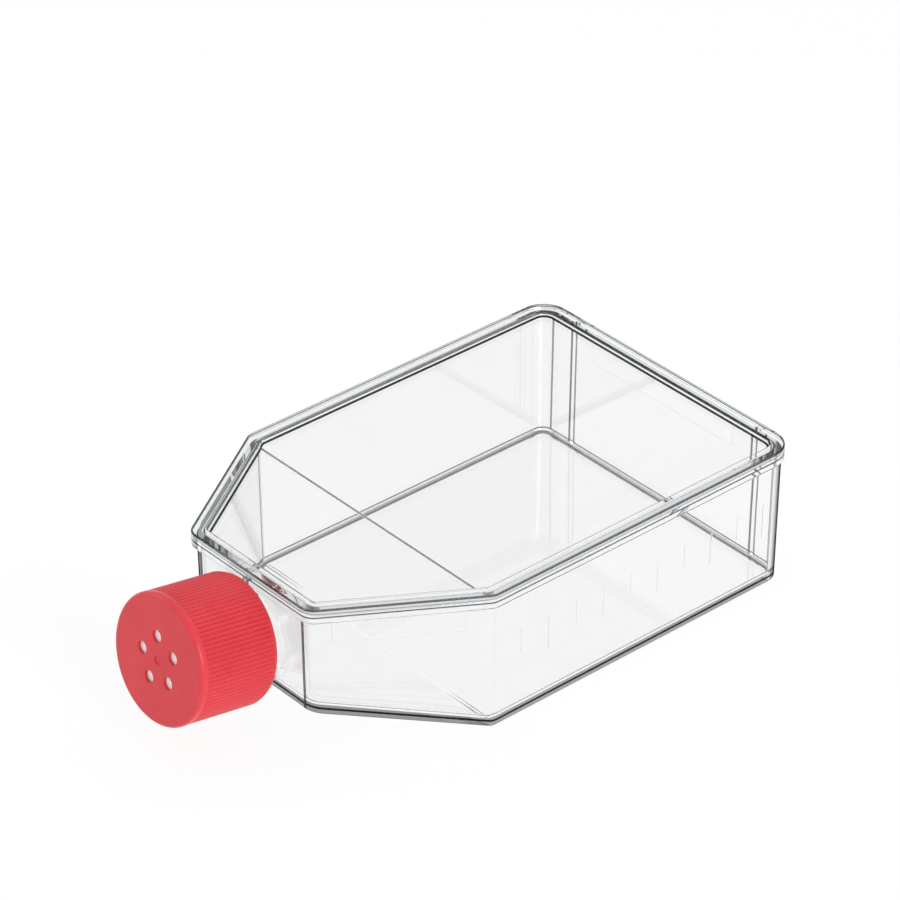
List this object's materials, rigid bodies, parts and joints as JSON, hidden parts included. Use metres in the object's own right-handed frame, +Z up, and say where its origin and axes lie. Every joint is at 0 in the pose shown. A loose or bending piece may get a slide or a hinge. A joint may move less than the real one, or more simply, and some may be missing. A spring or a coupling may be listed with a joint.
{
  "type": "cell culture flask",
  "caption": "Flat rectangular clear plastic culture flask with sloping shoulders, tilted neck and a vented red screw cap.",
  "frame": {"origin": "middle of the flask's overall outline, on the surface it stands on", "axes": "+Z up, -Y along the neck's side towards the cap, +X to the right seen from the cap"},
  "size_m": [0.086, 0.1554, 0.0394],
  "materials": {
    "clear_polystyrene_body": "clear, glossy",
    "clear_polystyrene_cover": "clear, glossy",
    "red_cap": "moulded, semi-gloss",
    "white_membrane": "matt microporous film",
    "seal_plastic": "moulded"
  },
  "bodies": {
    "flask": {"flask_body": "clear_polystyrene_body", "cover": "clear_polystyrene_cover"},
    "seal": {"sealing_ring": "seal_plastic"},
    "cap": {"screw_cap": "red_cap", "vent_membrane": "white_membrane"}
  },
  "joints": [
    {"name": "cap_lift", "type": "slide", "parent": "flask", "child": "seal", "axis": [0, -0.9842, 0.1771], "range_m": [0, 0.005]},
    {"name": "cap_turn", "type": "hinge", "parent": "seal", "child": "cap", "pos_m": [0, -0.04978, 0.0199], "axis": [0, -0.9842, 0.1771], "range_deg": [0, 450]}
  ],
  "couplings": [
    {"joint": "cap_lift", "follows": "cap_turn", "m_per_rad": 0.0006366}
  ]
}
